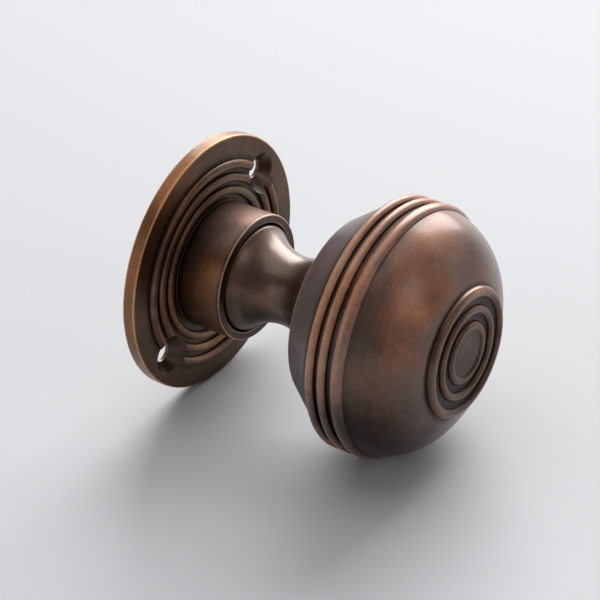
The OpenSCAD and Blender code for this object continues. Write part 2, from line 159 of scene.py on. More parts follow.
# cuts a bmesh of closed shapes out of a piece
def cutAway(piece, cutterBm):
    cutter = makePiece(piece.name + "_cutter", cutterBm)
    cut = piece.modifiers.new("cut", "BOOLEAN")
    cut.operation, cut.solver, cut.object = "DIFFERENCE", "EXACT", cutter
    graph = bpy.context.evaluated_depsgraph_get()
    mesh = bpy.data.meshes.new_from_object(piece.evaluated_get(graph))
    piece.modifiers.clear()
    old, piece.data = piece.data, mesh
    bpy.data.meshes.remove(old)
    cutterMesh = cutter.data
    bpy.data.objects.remove(cutter)
    bpy.data.meshes.remove(cutterMesh)
    mesh.name = piece.name


# a round cutter along the axis, between two distances up
def addRod(bm, radius, lowUp, highUp, x, z, sides):
    place = Matrix.Translation((x * mm, -(lowUp + highUp) / 2 * mm, z * mm))
    return bmesh.ops.create_cone(
        bm, cap_ends=True, segments=sides, radius1=radius * mm, radius2=radius * mm,
        depth=(highUp - lowUp) * mm, matrix=place @ Matrix.Rotation(math.pi / 2, 4, "X"))["verts"]


def addBlock(bm, sizeX, sizeZ, lowUp, highUp, z=0.0):
    place = Matrix.Translation((0, -(lowUp + highUp) / 2 * mm, z * mm))
    shape = Matrix.Diagonal((sizeX * mm, (highUp - lowUp) * mm, sizeZ * mm, 1))
    bmesh.ops.create_cube(bm, size=1, matrix=place @ shape)


def addDowelHoles(bm, s, lowUp, highUp):
    for side in (-1, 1):
        addRod(bm, s["dowelRadius"], lowUp, highUp, side * s["dowelCircle"], 0, s["dowelSides"])


def onCircle(radius, degrees):
    return radius * math.cos(math.radians(degrees)), radius * math.sin(math.radians(degrees))


def plug(tree, value, socket):
    if isinstance(value, bpy.types.NodeSocket):
        tree.links.new(value, socket)
    else:
        socket.default_value = value


# values fill the node's inputs in their order
def addNode(tree, kind, *values, **settings):
    node = tree.nodes.new("ShaderNode" + kind)
    for key, setting in settings.items():
        setattr(node, key, setting)
    for value, socket in zip(values, node.inputs):
        plug(tree, value, socket)
    return node


def sums(tree, operation, *values, clamp=False):
    return addNode(tree, "Math", *values, operation=operation, use_clamp=clamp).outputs[0]


def vectorSums(tree, operation, *values):
    node = addNode(tree, "VectorMath", *values, operation=operation)
    return node.outputs["Value" if operation in ("LENGTH", "DISTANCE") else "Vector"]


def combine(tree, x, y, z):
    return addNode(tree, "CombineXYZ", x, y, z).outputs[0]


# a noise is given by its scale per mm, detail and roughness
def noise(tree, vector, look):
    node = addNode(tree, "TexNoise", vector)
    for key, value in zip(("Scale", "Detail", "Roughness"), look):
        node.inputs[key].default_value = value
    return node.outputs["Fac"]


def evenNoise(tree, vector, look):
    return sums(tree, "SUBTRACT", noise(tree, vector, look), 0.5)  # as much below 0 as above


def ease(tree, value, low, high, toLow=0.0, toHigh=1.0):
    node = addNode(tree, "MapRange", value, low, high, toLow, toHigh, interpolation_type="SMOOTHSTEP")
    return node.outputs[0]


def newGroup(name, inputs, outputs):
    tree = bpy.data.node_groups.new(name, "ShaderNodeTree")
    for way, sockets in (("INPUT", inputs), ("OUTPUT", outputs)):
        for label, kind in sockets:
            tree.interface.new_socket(label, in_out=way, socket_type="NodeSocket" + kind)
    return tree, tree.nodes.new("NodeGroupInput").outputs, tree.nodes.new("NodeGroupOutput").inputs


def useGroup(tree, group, **values):
    node = addNode(tree, "Group", node_tree=group)
    for key, value in values.items():
        plug(tree, value, node.inputs[key])
    return node.outputs


latheSettings = {"drift": 0.02, "roundScale": 25, "lengthScale": 0.06}


# places on a turned piece, in mm: Around follows the turning marks, Across runs with the section
def makeLatheSpace(s):
    tree, given, made = newGroup(
        "latheSpace", [("Place", "Vector")],
        [("Spot", "Vector"), ("Around", "Vector"), ("Across", "Vector"), ("Up", "Float")])
    spot = vectorSums(tree, "MULTIPLY", given["Place"], (1 / mm, -1 / mm, 1 / mm))
    x, up, z = addNode(tree, "SeparateXYZ", spot).outputs
    flat = combine(tree, x, 0.0, z)
    radius = vectorSums(tree, "LENGTH", flat)
    drift = vectorSums(tree, "MULTIPLY", flat, (s["drift"], 0, s["drift"]))
    around = vectorSums(tree, "ADD", combine(tree, radius, up, 0.0), drift)
    heading = vectorSums(tree, "NORMALIZE", flat)
    heading = vectorSums(tree, "MULTIPLY", heading, (s["roundScale"], 0, s["roundScale"]))
    length = combine(tree, 0.0, sums(tree, "MULTIPLY", up, s["lengthScale"]), 0.0)
    across = vectorSums(tree, "ADD", heading, length)
    for label, value in (("Spot", spot), ("Around", around), ("Across", across), ("Up", up)):
        tree.links.new(value, made[label])
    return tree


patinaSettings = {
    "speckle": (2.2, 2, 0.6), "blotch": (0.085, 3, 0.55), "cloud": (0.42, 4, 0.6), "streak": (2.6, 3, 0.65),
    "warmth": (0.1, 2, 0.5), "warmthPlace": (40, 0, 90), "blotchCloud": 0.25, "wearCloud": 0.35,
    "rubbedSpan": (0.05, 0.75), "creaseShadedSpan": (0.02, 0.6), "hollowShadedSpan": (0.0, 0.55),
}


# how dark or rubbed the patina is at each place, with painted shade in creases and hollows, 0 black to 1 bare metal
def makePatinaTone(s):
    tree, given, made = newGroup(
        "patinaTone",
        [("Spot", "Vector"), ("Around", "Vector"), ("Wear", "Float"), ("Grime", "Float"), ("Base", "Float"),
         ("Blotch", "Float"), ("Streak", "Float"), ("Speckle", "Float"), ("Rub", "Float"), ("Soot", "Float")],
        [("Tone", "Float"), ("Warmth", "Float"), ("Streaks", "Float")])
    spot, wearAndShade = given["Spot"], given["Wear"]
    warmth = noise(tree, vectorSums(tree, "ADD", spot, s["warmthPlace"]), s["warmth"])
    speckle, blotch, cloud = (evenNoise(tree, spot, s[kind]) for kind in ("speckle", "blotch", "cloud"))
    streak = evenNoise(tree, given["Around"], s["streak"])
    blotches = sums(tree, "ADD", blotch, sums(tree, "MULTIPLY", cloud, s["blotchCloud"]))
    frayed = sums(tree, "ADD", wearAndShade, sums(tree, "MULTIPLY", cloud, s["wearCloud"]))
    rubbed = ease(tree, frayed, *s["rubbedSpan"])
    # painted shade: darker in tight creases, in wider hollows and where another piece meets this one
    creaseShaded = ease(tree, sums(tree, "MULTIPLY", wearAndShade, -1.0), *s["creaseShadedSpan"])
    hollowShaded = ease(tree, sums(tree, "MULTIPLY", given["Grime"], -1.0), *s["hollowShadedSpan"])
    tone = given["Base"]
    for mark, label in ((blotches, "Blotch"), (streak, "Streak"), (speckle, "Speckle"), (rubbed, "Rub")):
        tone = sums(tree, "MULTIPLY_ADD", mark, given[label], tone)
    shadeDark = sums(tree, "MULTIPLY", sums(tree, "MAXIMUM", creaseShaded, hollowShaded), given["Soot"])
    tone = sums(tree, "SUBTRACT", tone, shadeDark, clamp=True)
    for label, value in (("Tone", tone), ("Warmth", warmth), ("Streaks", streak)):
        tree.links.new(value, made[label])
    return tree


grainSettings = {"marks": (7.0, 2, 0.5), "grain": (3.2, 3, 0.6), "pits": (1.9, 1, 0.4), "pitSpan": (0.66, 0.74)}


# fine relief of cast and turned metal: turning marks, grain and a few pits
def makeMetalGrain(s):
    tree, given, made = newGroup(
        "metalGrain",
        [("Spot", "Vector"), ("Around", "Vector"), ("Marks", "Float"), ("Grain", "Float"), ("Pits", "Float")],
        [("Height", "Float")])
    marks = sums(tree, "MULTIPLY", noise(tree, given["Around"], s["marks"]), given["Marks"])
    grain = sums(tree, "MULTIPLY", noise(tree, given["Spot"], s["grain"]), given["Grain"])
    pitted = ease(tree, noise(tree, given["Spot"], s["pits"]), *s["pitSpan"])
    pitted = sums(tree, "MULTIPLY", pitted, given["Pits"])
    height = sums(tree, "SUBTRACT", sums(tree, "ADD", marks, grain), pitted)
    tree.links.new(height, made["Height"])
    return tree


patchSettings = {"ragged": (0.3, 3, 0.6), "raggedShare": 0.3}


# a soft ragged patch about a place in mm, 1 in its middle
def makeSoftPatch(s):
    tree, given, made = newGroup(
        "softPatch", [("Spot", "Vector"), ("Middle", "Vector"), ("Reach", "Float")], [("Mask", "Float")])
    distance = vectorSums(tree, "DISTANCE", given["Spot"], given["Middle"])
    ragged = evenNoise(tree, given["Spot"], s["ragged"])
    swing = sums(tree, "MULTIPLY", given["Reach"], s["raggedShare"])
    distance = sums(tree, "MULTIPLY_ADD", ragged, swing, distance)
    tree.links.new(ease(tree, distance, 0.0, given["Reach"], 1.0, 0.0), made["Mask"])
    return tree


latheSpace = makeLatheSpace(latheSettings)
patinaTone = makePatinaTone(patinaSettings)
metalGrain = makeMetalGrain(grainSettings)
softPatch = makeSoftPatch(patchSettings)


def rampColor(tree, value, stops):
    node = addNode(tree, "ValToRGB", value)
    ramp = node.color_ramp
    while len(ramp.elements) < len(stops):
        ramp.elements.new(0.5)
    for element, (place, color) in zip(ramp.elements, stops):
        element.position, element.color = place, (*color, 1)
    return node.outputs["Color"]


def attribute(tree, name):
    return addNode(tree, "Attribute", attribute_name=name).outputs["Fac"]


def newMaterial(name):
    material = bpy.data.materials.new(name)
    material.use_nodes = True
    tree = material.node_tree
    return material, tree, tree.nodes["Principled BSDF"]


def addRelief(tree, shader, space, s):
    grain = useGroup(
        tree, metalGrain, Spot=space["Spot"], Around=space["Around"], Marks=s["marks"], Grain=s["grain"],
        Pits=s["pits"])
    bump = addNode(tree, "Bump")
    bump.inputs["Distance"].default_value = s["relief"] * mm
    tree.links.new(grain["Height"], bump.inputs["Height"])
    tree.links.new(bump.outputs[0], shader.inputs["Normal"])


def makeBronze(name, s):
    material, tree, shader = newMaterial(name)
    space = useGroup(tree, latheSpace, Place=addNode(tree, "TexCoord").outputs["Object"])
    wearAndShade, hollowShade, tone = (
        attribute(tree, layerName) if s["marked"] else 0.0 for layerName in ("wearAndShade", "hollowShade", "tone"))
    base = sums(tree, "ADD", tone, s["base"])
    warmth = s["warmth"]
    for middle, reach, toneShift, warmthShift in s["patches"]:
        mask = useGroup(tree, softPatch, Spot=space["Spot"], Middle=middle, Reach=reach)["Mask"]
        base = sums(tree, "MULTIPLY_ADD", mask, toneShift, base)
        warmth = sums(tree, "MULTIPLY_ADD", mask, warmthShift, warmth)
    if s["crossStreak"]:  # filing marks across the reeds, up to crossEnd
        lines = evenNoise(tree, space["Across"], s["crossLines"])
        crossFar = s["crossEnd"] + s["crossFade"]
        here = ease(tree, space["Up"], s["crossEnd"], crossFar, s["crossStreak"], 0.0)
        base = sums(tree, "MULTIPLY_ADD", lines, here, base)
    patina = useGroup(
        tree, patinaTone, Spot=space["Spot"], Around=space["Around"], Wear=wearAndShade, Grime=hollowShade,
        Base=base, Blotch=s["blotch"], Streak=s["streak"], Speckle=s["speckle"],
        Rub=s["rub"], Soot=s["paintedShade"])
    tone = patina["Tone"]

    cool, warm = rampColor(tree, tone, s["coolTones"]), rampColor(tree, tone, s["warmTones"])
    drift = ease(tree, patina["Warmth"], *s["warmthSpan"], -s["warmthDrift"], s["warmthDrift"])
    warmth = sums(tree, "ADD", drift, warmth, clamp=True)
    mix = addNode(tree, "Mix", data_type="RGBA")
    for value, index in ((warmth, 0), (cool, 6), (warm, 7)):  # the factor and the two colours
        tree.links.new(value, mix.inputs[index])
    tree.links.new(mix.outputs[2], shader.inputs["Base Color"])

    rough = ease(tree, tone, *s["roughSpan"], s["dullRough"], s["rubbedRough"])
    rough = sums(tree, "MULTIPLY_ADD", patina["Streaks"], s["streakRough"], rough)
    tree.links.new(rough, shader.inputs["Roughness"])
    bare = ease(tree, tone, *s["metalSpan"], s["dullMetal"], s["rubbedMetal"])
    tree.links.new(bare, shader.inputs["Metallic"])
    waxed = ease(tree, tone, *s["waxSpan"], 0.0, s["wax"])
    waxed = sums(tree, "MULTIPLY", waxed, ease(tree, tone, *s["waxRubSpan"], 1.0, s["waxLeft"]))
    tree.links.new(waxed, shader.inputs["Coat Weight"])
    shader.inputs["Coat Roughness"].default_value = s["waxRough"]
    addRelief(tree, shader, space, s)
    return material


# tones run from black, for dark patina and painted shade, to bare rubbed metal
warmTones = (
    (0.0, (0.018, 0.011, 0.009)), (0.28, (0.07, 0.036, 0.024)), (0.5, (0.17, 0.073, 0.038)),
    (0.72, (0.35, 0.15, 0.072)), (1.0, (0.66, 0.32, 0.155)),
)
oliveTones = (
    (0.0, (0.014, 0.011, 0.009)), (0.28, (0.056, 0.039, 0.028)), (0.5, (0.13, 0.08, 0.053)),
    (0.72, (0.29, 0.16, 0.095)), (1.0, (0.62, 0.34, 0.19)),
)
plumTones = (
    (0.0, (0.016, 0.012, 0.012)), (0.28, (0.06, 0.043, 0.041)), (0.5, (0.13, 0.083, 0.068)),
    (0.72, (0.285, 0.165, 0.122)), (1.0, (0.6, 0.36, 0.25)),
)
goldTones = (
    (0.0, (0.018, 0.011, 0.008)), (0.28, (0.07, 0.035, 0.02)), (0.5, (0.175, 0.072, 0.029)),
    (0.72, (0.37, 0.15, 0.055)), (1.0, (0.68, 0.33, 0.135)),
)
duskTones = (
    (0.0, (0.016, 0.012, 0.011)), (0.28, (0.059, 0.042, 0.036)), (0.5, (0.13, 0.082, 0.061)),
    (0.72, (0.285, 0.164, 0.11)), (1.0, (0.6, 0.36, 0.235)),
)
redTones = (
    (0.0, (0.018, 0.011, 0.009)), (0.28, (0.072, 0.033, 0.022)), (0.5, (0.178, 0.066, 0.036)),
    (0.72, (0.36, 0.135, 0.068)), (1.0, (0.66, 0.31, 0.15)),
)
bandTones = (
    (0.0, (0.018, 0.014, 0.014)), (0.28, (0.08, 0.057, 0.055)), (0.5, (0.19, 0.132, 0.126)),
    (0.72, (0.36, 0.25, 0.22)), (1.0, (0.66, 0.47, 0.4)),
)
# each span holds the tones between which a value goes from dull to rubbed
# a patch has its middle (x, up, z), its reach, how much lighter and how much redder it is
bronzeLook = {
    "base": 0.42, "warmth": 0.5, "blotch": 0.35, "streak": 0.14, "speckle": 0.14, "rub": 0.35, "paintedShade": 0.35,
    "coolTones": oliveTones, "warmTones": warmTones, "warmthSpan": (0.3, 0.7), "warmthDrift": 0.35,
    "patches": (), "marked": True, "crossStreak": 0.0, "crossLines": (1.6, 3, 0.6), "crossFade": 0.2,
    "dullRough": 0.4, "rubbedRough": 0.33, "roughSpan": (0.1, 0.9), "streakRough": 0.12,
    "dullMetal": 0.95, "rubbedMetal": 0.85, "metalSpan": (0.15, 0.8),
    "marks": 0.5, "grain": 0.5, "pits": 0.0, "relief": 0.02,
    "wax": 0.3, "waxRough": 0.22, "waxSpan": (0.15, 0.5), "waxRubSpan": (0.6, 0.9), "waxLeft": 0.4,
}
plateLook = {
    **bronzeLook, "warmTones": goldTones, "base": 0.37, "pits": 0.6, "speckle": 0.3, "rub": 0.5, "paintedShade": 0.15,
    "rubbedRough": 0.4, "rubbedMetal": 0.8, "wax": 0.2,
}
roseBronze = makeBronze("roseBronze", {
    **plateLook,
    "patches": (
        # the paler patch at the top of the rim is a painted highlight, and the darker patch at the bottom of the rose
        # is painted shade
        ((-27, 1, 14), 26, 0.0, 0.4), ((-13, 1, 27), 10, 0.08, 0.3), ((-6, 3, -29), 11, -0.08, 0.0),
        ((-20, 4.5, 2), 7, 0.1, 0.0), ((-4, 4.5, -21), 11, 0.1, 0.0)),
})
collarBronze = makeBronze("collarBronze", {
    **plateLook, "coolTones": plumTones, "warmth": 0.4,
    # the paler, cooler patch on top of the collar is a painted highlight, and the slightly darker patch at its lower
    # left is painted shade
    "patches": (((1, 9, 14.5), 15, 0.18, -0.8), ((-13, 11, 6), 10, 0.1, 0.5), ((-14, 9, -5), 9, -0.04, 0.1)),
})
sinkBronze = makeBronze("sinkBronze", {**bronzeLook, "coolTones": plumTones, "warmth": 0.2, "marked": False})
neckBronze = makeBronze("neckBronze", {
    **bronzeLook, "base": 0.45, "warmth": 0.6, "speckle": 0.2, "rub": 0.1, "rubbedMetal": 0.75,
    "wax": 0.95, "waxRough": 0.26,
    "patches": (
        # the darker patch underneath is painted shade, and the cooler patch on top sits where the window's highlight
        # falls, a painted highlight
        ((-9.8, 16.5, 4.9), 7, 0.0, 0.6), ((-8.1, 22.2, 1.9), 7, 0.06, 0.2), ((-6, 20, -8), 9, -0.25, -0.2),
        ((-0.5, 22.9, 8.2), 8, 0.0, -1.0)),
})
backBronze = makeBronze("backBronze", {
    **bronzeLook, "coolTones": bandTones, "warmTones": plumTones, "base": 0.45, "warmth": 0.25,
    "blotch": 0.25, "speckle": 0.2, "rub": 0.55, "dullRough": 0.55, "rubbedRough": 0.4,
    "dullMetal": 0.3, "rubbedMetal": 0.4, "wax": 0.9, "waxRough": 0.38,
    # the darker patch underneath is painted shade
    "patches": (((-23, 43, -8), 16, -0.28, 0.0),),
})
shellBronze = makeBronze("shellBronze", {
    **bronzeLook, "coolTones": duskTones, "warmTones": redTones, "base": 0.5, "warmth": 0.45,
    "blotch": 0.24, "speckle": 0.26, "streak": 0.2, "paintedShade": 0.18, "crossStreak": 0.12, "crossEnd": 56.2,
    "rubbedRough": 0.47, "dullMetal": 0.8, "rubbedMetal": 0.1, "metalSpan": (0.52, 0.82), "wax": 0.7,
    "patches": (
        ((-14.5, 57, 24), 4, -0.12, -0.3), ((-18.5, 58.8, 19.5), 6, -0.08, -0.3), ((-24, 59, 12), 7, -0.02, -0.4),
        ((-11, 60, 24), 6, 0.03, 0.2), ((-2, 62, 25), 8, 0.2, 0.2), ((7, 59.5, 26), 5, -0.08, 0.0),
        ((-14.1, 64.2, 18.6), 12, 0.21, 0.4), ((-5, 67, 18.5), 6, 0.12, 0.7), ((-13.7, 66.4, 15.2), 4, 0.12, 0.9),
        # the darker patch on the right of the dome mutes the window's reflection there, and the one under the dome
        # darkens its underside: both are painted shade
        ((-21.7, 64.4, 8), 7, 0.03, 0.2), ((8, 66, 19), 10, -0.17, 0.8), ((-20, 63, -17), 28, -0.26, -0.1),
        # the first patch below darkens the underside of the reeds and the second darkens their tops under the window's
        # highlight: both are painted shade
        ((-29, 52, -10), 16, -0.26, -0.1), ((2, 51, 29), 17, -0.14, 0.1), ((-19, 53.5, 22), 8, 0.05, 0.8)),
})
bossBronze = makeBronze("bossBronze", {
    **bronzeLook, "coolTones": plumTones, "base": 0.28, "warmth": 0.6, "blotch": 0.3, "paintedShade": 0.1, "speckle": 0.25,
    # the paler, cooler patch on top of the outer ring is a painted highlight
    "patches": (((2, 70, 14), 9, 0.25, -0.4),),
})


# finishes of the pieces inside: plated steel, oiled wire and nylon
def makePlain(name, s):
    material, tree, shader = newMaterial(name)
    space = useGroup(tree, latheSpace, Place=addNode(tree, "TexCoord").outputs["Object"])
    cloud = noise(tree, space["Spot"], s["cloud"])
    tree.links.new(rampColor(tree, cloud, s["colors"]), shader.inputs["Base Color"])
    tree.links.new(ease(tree, cloud, *s["roughSpan"], *s["rough"]), shader.inputs["Roughness"])
    shader.inputs["Metallic"].default_value = s["metallic"]
    addRelief(tree, shader, space, s)
    return material


plainLook = {"roughSpan": (0.3, 0.7), "rough": (0.4, 0.28), "grain": 0.3, "pits": 0.0, "relief": 0.015, "metallic": 1.0}
zincSteel = makePlain("zincSteel", {
    **plainLook, "cloud": (0.5, 4, 0.6), "colors": ((0.3, (0.42, 0.43, 0.45)), (0.7, (0.62, 0.63, 0.65))),
    "rough": (0.42, 0.3), "marks": 0.7})
screwSteel = makePlain("screwSteel", {
    **plainLook, "cloud": (1.2, 4, 0.6), "colors": ((0.3, (0.36, 0.31, 0.22)), (0.7, (0.56, 0.49, 0.34))),
    "marks": 0.8})
springSteel = makePlain("springSteel", {
    **plainLook, "cloud": (0.8, 4, 0.6), "colors": ((0.3, (0.12, 0.12, 0.14)), (0.7, (0.3, 0.3, 0.32))),
    "marks": 0.4, "grain": 0.4, "relief": 0.01})
milkyNylon = makePlain("milkyNylon", {
    **plainLook, "cloud": (0.3, 4, 0.6), "colors": ((0.3, (0.66, 0.63, 0.54)), (0.7, (0.76, 0.74, 0.66))),
    "rough": (0.5, 0.4), "marks": 0.5, "relief": 0.02, "metallic": 0.0})
print("finishes made")

# a zone has its least and greatest radius and distance up, how much paler it is, and its soft edge
roseLook = {
    "radius": 30, "thick": 3, "rimRound": 0.4, "backEase": 0.2,
    "beadOuter": 24.4, "beadWidth": 2.15, "beadPitch": 3.05, "beadCount": 3,
    "collarRadius": 14.75, "collarUp": 14.75, "collarRound": 0.35, "boreEase": 0.15,
    "stepWidth": 0.4, "stepHeight": 0.5, "stepRound": 0.15,
    "bore": 12.85, "webUp": 7.452, "webFaceUp": 10.452, "bushBore": 9.02, "chamber": 12.6,
    "recess": 19.02, "recessDepth": 1,
    "holeCircle": 23.6, "holeTurn": 41, "holeRadius": 2.3, "holeSides": 96,
    "sinkRadius": 4.5, "sinkFlare": 0.75, "sinkSlack": 0.05,
    "coverScrewCircle": 16.65, "coverScrewTurn": 30, "coverScrewRadius": 1, "coverScrewDepth": 2.62,
    "tangCircle": 10.7, "tangTurn": 180, "tangRadius": 0.75, "tangDepth": 2.05, "pilotSides": 24,
    "wearAndShadeReach": 0.3, "hollowShadeReach": 1.6, "meets": (), "turns": 240, "sharp": 38,
    "zones": (
        (29.6, 31, -1, 2.95, 0.16, 0.2), (29.6, 31, 2.65, 3.1, 0.25, 0.1), (9.7, 19.8, 3.6, 20, 0.14, 5),
        (12.8, 14.55, 14.6, 15.5, -0.34, 0.2), (14.5, 15, 13.9, 14.55, -0.3, 0.12),
        (16, 24.6, 3.2, 5, 0.04, 0.4), (14.9, 15.4, 3.3, 3.7, -0.35, 0.05)),
}


# a screw hole with its countersink, which is steeper where it goes through the beads
def addSink(bm, s, x, z):
    sinkDepth = s["sinkRadius"] - s["holeRadius"]
    rod = addRod(bm, s["holeRadius"], -overrun, s["thick"] - sinkDepth, x, z, s["holeSides"])
    top = min((face for vert in rod for face in vert.link_faces), key=lambda face: face.calc_center_median().y)
    flare = s["sinkRadius"] + s["sinkFlare"] * s["beadWidth"]
    for radius, up in ((s["sinkRadius"], s["thick"]), (flare, s["thick"] + s["beadWidth"])):
        top = bmesh.ops.extrude_discrete_faces(bm, faces=[top])["faces"][0]
        middle = top.calc_center_median()
        wider = radius * mm / (top.verts[0].co - middle).length
        bmesh.ops.scale(bm, verts=top.verts[:], vec=(wider, 1, wider), space=Matrix.Translation(-middle))
        bmesh.ops.translate(bm, verts=top.verts[:], vec=(0, -up * mm - middle.y, 0))


# gives the collar and the walls of the screw holes their own finish
def paintRose(rose, s, holes):
    for material in (sinkBronze, collarBronze):
        rose.data.materials.append(material)
    for face in rose.data.polygons:
        up = -face.center.y / mm
        if up > s["thick"] + s["stepHeight"]:
            if math.hypot(face.center.x, face.center.z) < s["collarRadius"] * mm:
                face.material_index = 2
        rise = up - s["thick"]
        wall = max(s["holeRadius"], s["sinkRadius"] + rise * (s["sinkFlare"] if rise > 0 else 1))
        for x, z in holes:
            out = Vector((face.center.x - x * mm, 0, face.center.z - z * mm))
            if abs(out.length / mm - wall) < s["sinkSlack"] and face.normal.dot(out.normalized()) < -0.5:
                face.material_index = 1


def makeRose(s):
    bm, path = penStart(s["recess"], 0)
    penLine(bm, path, s["radius"] - s["backEase"], 0, 8)
    penArc(bm, path, s["radius"] - s["backEase"], s["backEase"], 90, 4)
    penLine(bm, path, s["radius"], s["thick"] - s["rimRound"], 6)
    penArc(bm, path, s["radius"] - s["rimRound"], s["thick"] - s["rimRound"], 90, 6)
    stepRadius, stepUp = s["collarRadius"] + s["stepWidth"], s["thick"] + s["stepHeight"]
    penLine(bm, path, s["beadOuter"], s["thick"], 12)
    for i in range(s["beadCount"]):
        outer = s["beadOuter"] - i * s["beadPitch"]
        penArc(bm, path, outer - s["beadWidth"] / 2, s["thick"], 180, 16)
        follows = outer - s["beadPitch"] if i < s["beadCount"] - 1 else stepRadius
        penLine(bm, path, follows, s["thick"], 4)
    penLine(bm, path, stepRadius, stepUp - s["stepRound"], 3)
    penArc(bm, path, stepRadius - s["stepRound"], stepUp - s["stepRound"], 90, 4)
    penLine(bm, path, s["collarRadius"], stepUp, 2)
    penLine(bm, path, s["collarRadius"], s["collarUp"] - s["collarRound"], 24)
    penArc(bm, path, s["collarRadius"] - s["collarRound"], s["collarUp"] - s["collarRound"], 90, 6)
    penLine(bm, path, s["bore"] + s["boreEase"], s["collarUp"], 5)
    penArc(bm, path, s["bore"] + s["boreEase"], s["collarUp"] - s["boreEase"], 90, 3)
    penLine(bm, path, s["bore"], s["webFaceUp"], 6)
    penLine(bm, path, s["bushBore"], s["webFaceUp"])
    penLine(bm, path, s["bushBore"], s["webUp"])
    penLine(bm, path, s["chamber"], s["webUp"])
    penLine(bm, path, s["chamber"], s["recessDepth"])
    penLine(bm, path, s["recess"], s["recessDepth"])
    rose = turnPiece("rose_plate", bm, path, s, True)

    cutters = bmesh.new()
    holes = [onCircle(s["holeCircle"], s["holeTurn"] + side) for side in (0, 180)]
    for x, z in holes:
        addSink(cutters, s, x, z)
    for third in (0, 120, 240):
        x, z = onCircle(s["coverScrewCircle"], s["coverScrewTurn"] + third)
        addRod(cutters, s["coverScrewRadius"], 0, s["coverScrewDepth"], x, z, s["pilotSides"])
    x, z = onCircle(s["tangCircle"], s["tangTurn"])
    addRod(cutters, s["tangRadius"], s["webUp"] - overrun, s["webUp"] + s["tangDepth"], x, z, s["pilotSides"])
    cutAway(rose, cutters)
    finishPiece(rose, roseBronze, s["sharp"])
    paintRose(rose, s, holes)
    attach(rose, "rose")
    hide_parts("rose")
    return rose


rose = makeRose(roseLook)
print("rose made:", len(rose.data.polygons), "faces")

neckLook = {
    "shank": 7.6, "flat": 6.4, "flatUp": 7.352, "flatCutter": (40, 4),
    "clipUp": 0.7, "clipTall": 0.8, "clipRadius": 7.05,
    "footUp": 12.052, "foot": 12.4, "footEdgeUp": 14.152, "cone": 12.17,
    "waistUp": 24.652, "coveMid": 21, "coveRound": 12.95, "seatUp": 34.124,
    "stud": 6, "studUp": 46.324, "socket": 8.2, "socketUp": 29.652, "grubRadius": 2.5, "grubSides": 64,
    "dowelCircle": 8.5, "dowelRadius": 1.2, "dowelDepth": 2, "dowelSides": 32,
    "wearAndShadeReach": 0.5, "hollowShadeReach": 3, "meets": ((12.17, 34.124),), "turns": 192, "sharp": 38,
    # the darker zone at the neck's foot, next to the mouth of the rose's collar, is painted shade in the gap
    "zones": ((11.5, 13, 13.5, 16.2, -0.15, 1.0),),
}


def makeNeck(s):
    bm, path = penStart(0, 0)
    penLine(bm, path, s["shank"], 0, 2)
    penLine(bm, path, s["shank"], s["clipUp"])
    penLine(bm, path, s["clipRadius"], s["clipUp"])
    penLine(bm, path, s["clipRadius"], s["clipUp"] + s["clipTall"])
    penLine(bm, path, s["shank"], s["clipUp"] + s["clipTall"])
    penLine(bm, path, s["shank"], s["footUp"], 6)
    penLine(bm, path, s["foot"], s["footUp"], 3)
    penLine(bm, path, s["foot"], s["footEdgeUp"], 6)
    coveHalf = math.degrees(math.asin((s["seatUp"] - s["waistUp"]) / s["coveRound"]))
    coveStart = s["waistUp"] - (s["seatUp"] - s["waistUp"])
    penLine(bm, path, s["cone"], coveStart, 4)
    penArc(bm, path, s["coveMid"], s["waistUp"], -2 * coveHalf, 60)
    penLine(bm, path, s["stud"], s["seatUp"], 2)
    penLine(bm, path, s["stud"], s["studUp"], 2)
    penLine(bm, path, 0, s["studUp"], 2)
    neck = turnPiece("neck_turned", bm, path, s, False)

    cutters = bmesh.new()
    flatWide, flatDeep = s["flatCutter"]
    for side in (-1, 1):
        addBlock(cutters, flatWide, flatDeep, -overrun, s["flatUp"], side * (s["flat"] + flatDeep / 2))
    addBlock(cutters, s["socket"], s["socket"], -2 * overrun, s["socketUp"])
    bmesh.ops.create_cone(
        cutters, cap_ends=True, segments=s["grubSides"], radius1=s["grubRadius"] * mm, radius2=s["grubRadius"] * mm,
        depth=s["foot"] * mm, matrix=Matrix.Translation((0, -s["waistUp"] * mm, -s["foot"] / 2 * mm)))
    addDowelHoles(cutters, s, s["seatUp"] - s["dowelDepth"], s["seatUp"] + overrun)
    cutAway(neck, cutters)
    finishPiece(neck, neckBronze, s["sharp"])
    neck.data.materials.append(sinkBronze)
    for face in neck.data.polygons:  # the shank, inside the rose, up to a hair below the foot
        if -face.center.y / mm < s["footUp"] - 0.01:
            face.material_index = 1
    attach(neck, "knob")
    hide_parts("neck")
    return neck


neck = makeNeck(neckLook)
print("neck made:", len(neck.data.polygons), "faces")

backLook = {
    "seatUp": 34.124, "seat": 12.17, "coveMid": 21, "coveUp": 24.652, "coveRound": 12.95,
    "edgeRound": 0.45, "bandEnd": 27.85, "bandEndUp": 46.902,
    "spigotOut": 25.23, "spigotIn": 23.25, "spigotUp": 50.302, "spigotFootUp": 45.902,
    "floor": 18.4, "floorUp": 40.202, "nutWell": 12.27, "nutFloorUp": 38.324, "stud": 6.02,
    "dowelCircle": 8.5, "dowelRadius": 1.2, "dowelDepth": 2.02, "dowelSides": 32,
    "wearAndShadeReach": 0.5, "hollowShadeReach": 3, "meets": ((27.85, 46.902), (12.17, 34.124)), "turns": 240, "sharp": 38,
    "zones": ((20.4, 21.6, 37.3, 38.0, 0.3, 0.1),),
}


